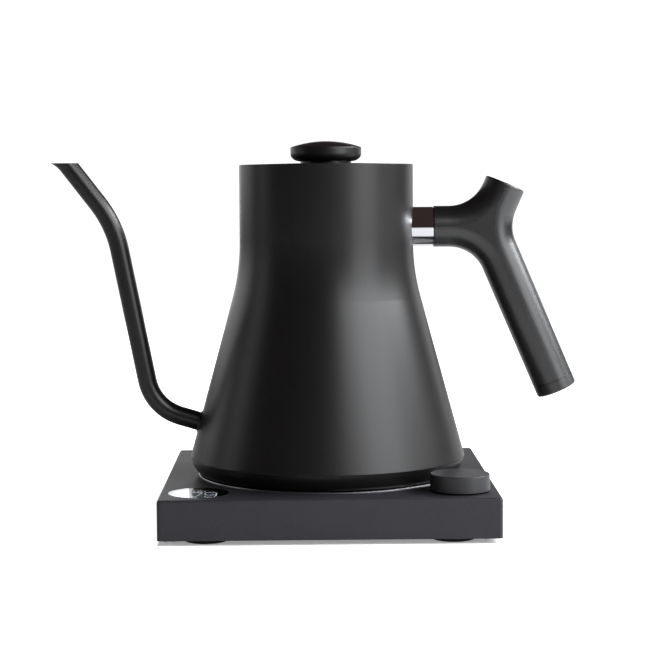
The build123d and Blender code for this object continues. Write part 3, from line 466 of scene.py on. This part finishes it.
tree.links.new(steel_gloss.outputs["Result"], shader.inputs["Roughness"])
tree.links.new(bare.outputs[0], shader.inputs["Metallic"])
finish(vessel_finish, "vessel_shell")

# ---- Kettle: weld bead at the spout's root
# A thin dressed bead joins the tube to the vessel wall, under the same powder coat.
root_rise = radians(16.8)
base_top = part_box("base_housing")[1].z
root_point = Vector((axis_x - 0.0734, 0.0, base_top + 0.0295))
tube_radius = 0.0050
bead_radius = 0.0007
outward = Vector((-cos(root_rise), 0.0, sin(root_rise)))
sideways = Vector((0.0, 1.0, 0.0))
upward = outward.cross(sideways)
wall = bmesh.new()
wall.from_mesh(nodes["vessel_shell"].data)
wall_tree = BVHTree.FromBMesh(wall)
bead_line = bpy.data.curves.new("spout_weld_line", "CURVE")
bead_line.dimensions = "3D"
bead_line.bevel_depth = bead_radius
bead_line.bevel_resolution = 4
bead_line.resolution_u = 4
loop = bead_line.splines.new("NURBS")
bead_points = 24
loop.points.add(bead_points - 1)
for step, point in enumerate(loop.points):
    turn = 2 * pi * step / bead_points
    beside = (sideways * cos(turn) + upward * sin(turn)) * (tube_radius + 0.3 * bead_radius)
    hit = wall_tree.ray_cast(root_point + outward * 0.02 + beside, -outward)[0]
    point.co = (*hit, 1.0)
loop.use_cyclic_u = True
wall.free()
bead_holder = bpy.data.objects.new("spout_weld_line", bead_line)
bpy.context.scene.collection.objects.link(bead_holder)
bead_mesh = bpy.data.meshes.new_from_object(bead_holder)
bpy.data.objects.remove(bead_holder)
add_piece("spout_weld", bead_mesh, "kettle", powder_coat)
for polygon in bead_mesh.polygons:
    polygon.use_smooth = True

# ---- Kettle: heater under the floor
# Cast aluminium plate brazed under the floor, with a sheathed element that heat has browned, a
# bimetal cutout in a pressed steel case, and seals moulded in black silicone.
cast_aluminium = grained("cast_aluminium", (0.62, 0.62, 0.63), 0.45, 900.0, 0.00003, metallic=1.0)
finish(cast_aluminium, "heater_plate")
heated_steel = grained("heated_steel", (0.26, 0.21, 0.16), 0.42, 700.0, 0.00001, shade=0.4,
                       metallic=1.0)
finish(heated_steel, "heater_element")
cutout_steel = grained("cutout_steel", (0.42, 0.41, 0.40), 0.35, 1100.0, 0.00001, metallic=1.0)
finish(cutout_steel, "thermal_cutout")
silicone = grained("black_silicone", (0.012, 0.012, 0.012), 0.66, 1500.0, 0.00001)
finish(silicone, "probe_seal", "cover_gasket", "lid_gasket")

# ---- Kettle: moulded foot
# Glass-filled black plastic, moulded in a polished mould and so smoother than the base.
# Screws pull it up against the vessel over its gasket.
foot_plastic = grained("foot_plastic", (0.0065, 0.0065, 0.0068), 0.33, 2800.0, 0.000003,
                       shade=0.25, specular=0.28)
finish(foot_plastic, "base_cover")

# ---- Kettle: ferrule and handle
# The ferrule is a turned brass sleeve, polished and chromed. The grip and its cap are moulded in
# matte black plastic with a fine speckle, over a steel counterweight.
chrome, tree, shader = blank_material("chrome")
shader.inputs["Base Color"].default_value = (0.78, 0.78, 0.80, 1.0)
shader.inputs["Metallic"].default_value = 1.0
smears = tree.nodes.new("ShaderNodeGroup")
smears.node_tree = surface_grain
smears.inputs["Clouds per Metre"].default_value = 160.0
smears.inputs["Roughness"].default_value = 0.04
smears.inputs["Roughness Change"].default_value = 0.03
tree.links.new(smears.outputs["Roughness"], shader.inputs["Roughness"])
finish(chrome, "handle_ferrule")
handle_plastic = grained("handle_plastic", (0.0060, 0.0060, 0.0066), 0.33, 1000.0, 0.00006,
                         shade=0.8, gloss_change=0.06, specular=0.9)
finish(handle_plastic, "handle_grip")
cap_plastic = grained("cap_plastic", (0.0068, 0.0068, 0.0074), 0.34, 1100.0, 0.000020, shade=0.6,
                      gloss_change=0.08, specular=0.8)
finish(cap_plastic, "handle_end_cap")

# ---- Lid: knob
# Turned knob, sprayed in the same black as the vessel over a smoother ground, and screwed to the
# lid from below.
knob_finish = grained("knob_finish", (0.0080, 0.0068, 0.0066), 0.34, 2800.0, 0.000002, shade=0.3)
finish(knob_finish, "lid_knob")

# ---- Floor
# A plain white worktop. It is lifted to the white of the room for the camera alone, and less so
# under the base, a painted shadow shaped to the base's footprint that keeps the floor there grey.
floor_width = 4.0
floor_depth = 3.4
floor_mesh = bpy.data.meshes.new("floor")
worktop = bmesh.new()
bmesh.ops.create_grid(worktop, x_segments=1, y_segments=1, size=1.0)
bmesh.ops.scale(worktop, vec=(floor_width / 2, floor_depth / 2, 1.0), verts=worktop.verts)
worktop.to_mesh(floor_mesh)
worktop.free()
floor = bpy.data.objects.new("floor", floor_mesh)
bpy.context.scene.collection.objects.link(floor)
floor_with_painted_shadow, tree, shader = blank_material("floor_with_painted_shadow")
shader.inputs["Base Color"].default_value = (0.9, 0.9, 0.9, 1.0)
shader.inputs["Roughness"].default_value = 0.9
shader.inputs["Emission Color"].default_value = (1.0, 1.0, 1.0, 1.0)
base_low, base_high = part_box("base_housing")
place, split = tree.nodes.new("ShaderNodeTexCoord"), tree.nodes.new("ShaderNodeSeparateXYZ")
tree.links.new(place.outputs["Object"], split.inputs[0])
past = []
half_width = (base_high.x - base_low.x) / 2
for axis, middle, half in (("X", axis_x, half_width), ("Y", 0.0, base_high.y)):
    offset = tree.nodes.new("ShaderNodeMath")
    offset.operation = "SUBTRACT"
    offset.inputs[1].default_value = middle
    tree.links.new(split.outputs[axis], offset.inputs[0])
    size = tree.nodes.new("ShaderNodeMath")
    size.operation = "ABSOLUTE"
    tree.links.new(offset.outputs[0], size.inputs[0])
    beyond = tree.nodes.new("ShaderNodeMath")
    beyond.operation = "SUBTRACT"
    beyond.inputs[1].default_value = half
    tree.links.new(size.outputs[0], beyond.inputs[0])
    past.append(beyond)
outside = tree.nodes.new("ShaderNodeMath")
outside.operation = "MAXIMUM"
tree.links.new(past[0].outputs[0], outside.inputs[0])
tree.links.new(past[1].outputs[0], outside.inputs[1])
edge_blur = 0.0004
# Painted shadow: under the base's footprint the camera sees the lower lift, so the floor there is
# painted grey; the step at the base's edge is the painted shadow's edge.
painted_shadow_lift = 0.30
lift_outside = 0.96
painted_shadow_step = tree.nodes.new("ShaderNodeMapRange")
painted_shadow_step.inputs["From Min"].default_value = -edge_blur
painted_shadow_step.inputs["From Max"].default_value = edge_blur
painted_shadow_step.inputs["To Min"].default_value = painted_shadow_lift
painted_shadow_step.inputs["To Max"].default_value = lift_outside
tree.links.new(outside.outputs[0], painted_shadow_step.inputs["Value"])
path = tree.nodes.new("ShaderNodeLightPath")
lift = tree.nodes.new("ShaderNodeMath")
lift.operation = "MULTIPLY"
tree.links.new(path.outputs["Is Camera Ray"], lift.inputs[0])
tree.links.new(painted_shadow_step.outputs["Result"], lift.inputs[1])
tree.links.new(lift.outputs[0], shader.inputs["Emission Strength"])
floor_mesh.materials.append(floor_with_painted_shadow)


# ---- Studio light
# Softboxes on stands round the kettle. The large ones are at the front right and on the right, the
# left stays dark, and weak ones behind draw the edges.
softbox_distance = 1.4
softbox_colour = (0.96, 0.98, 1.0)
aim = Vector((axis_x, 0.0, 0.11))


def softbox(name, azimuth, rise, width, tall, watts):
    """Softbox aimed at the kettle; azimuth 0 is in front, 90 degrees on the handle's side."""
    lamp = bpy.data.lights.new(name, "AREA")
    lamp.shape = "RECTANGLE"
    lamp.size = width
    lamp.size_y = tall
    lamp.energy = watts
    lamp.color = softbox_colour
    out = Vector((cos(rise) * sin(azimuth), -cos(rise) * cos(azimuth), sin(rise)))
    place = Matrix.Translation(aim + softbox_distance * out)
    stand = bpy.data.objects.new(name, lamp)
    stand.matrix_world = place @ (-out).to_track_quat("-Z", "Y").to_matrix().to_4x4()
    stand.visible_camera = False
    bpy.context.scene.collection.objects.link(stand)


softbox("key_front", radians(25), radians(30), 0.4, 0.5, 3.2)
softbox("key_low", radians(50), radians(8), 0.8, 0.5, 3.8)
softbox("key_high", radians(51), radians(30), 0.8, 0.5, 9.8)
softbox("side_near", radians(76), radians(30), 0.4, 0.5, 6.5)
softbox("side_high", radians(95), radians(30), 0.4, 0.5, 14.5)
softbox("rear_right", radians(140), radians(8), 0.4, 0.5, 0.6)
softbox("rear_left", radians(-165), radians(8), 0.4, 0.5, 0.75)
softbox("edge_left", radians(-130), radians(14), 0.9, 0.6, 2.0)
softbox("behind", radians(180), radians(9), 1.8, 0.4, 2.0)
softbox("above_handle", radians(112), radians(27), 0.7, 0.5, 4.5)
softbox("far_left", radians(-90), radians(15), 0.4, 0.7, 0.8)

world = bpy.data.worlds.new("studio")
bpy.context.scene.world = world
world.use_nodes = True
tree = world.node_tree
tree.nodes.clear()
room = tree.nodes.new("ShaderNodeBackground")
room.inputs["Color"].default_value = (0.037, 0.026, 0.024, 1.0)
backdrop = tree.nodes.new("ShaderNodeBackground")
backdrop.inputs["Color"].default_value = (1.0, 1.0, 1.0, 1.0)
backdrop.inputs["Strength"].default_value = 1.1
path = tree.nodes.new("ShaderNodeLightPath")
either = tree.nodes.new("ShaderNodeMixShader")
tree.links.new(path.outputs["Is Camera Ray"], either.inputs[0])
tree.links.new(room.outputs[0], either.inputs[1])
tree.links.new(backdrop.outputs[0], either.inputs[2])
world_out = tree.nodes.new("ShaderNodeOutputWorld")
tree.links.new(either.outputs[0], world_out.inputs["Surface"])
bpy.context.scene.view_settings.view_transform = "Standard"

# ---- Camera
# A long lens about a metre in front of the kettle, at the height of its upper wall.
lens = bpy.data.cameras.new("camera")
lens.lens = 97.6
lens.sensor_width = 36.0
camera = bpy.data.objects.new("camera", lens)
bpy.context.scene.collection.objects.link(camera)
yaw, pitch, roll = radians(0.79), radians(4.57), radians(-0.35)
forward = Vector((sin(yaw) * cos(pitch), cos(yaw) * cos(pitch), -sin(pitch)))
level = Vector((cos(yaw), -sin(yaw), 0.0))
upright = level.cross(forward)
right = cos(roll) * level + sin(roll) * upright
up = -sin(roll) * level + cos(roll) * upright
stance = Matrix((right, up, -forward)).transposed().to_4x4()
eye = Vector((axis_x - 0.0120, -0.9538, base_top + 0.1536))
camera.matrix_world = Matrix.Translation(eye) @ stance
bpy.context.scene.camera = camera
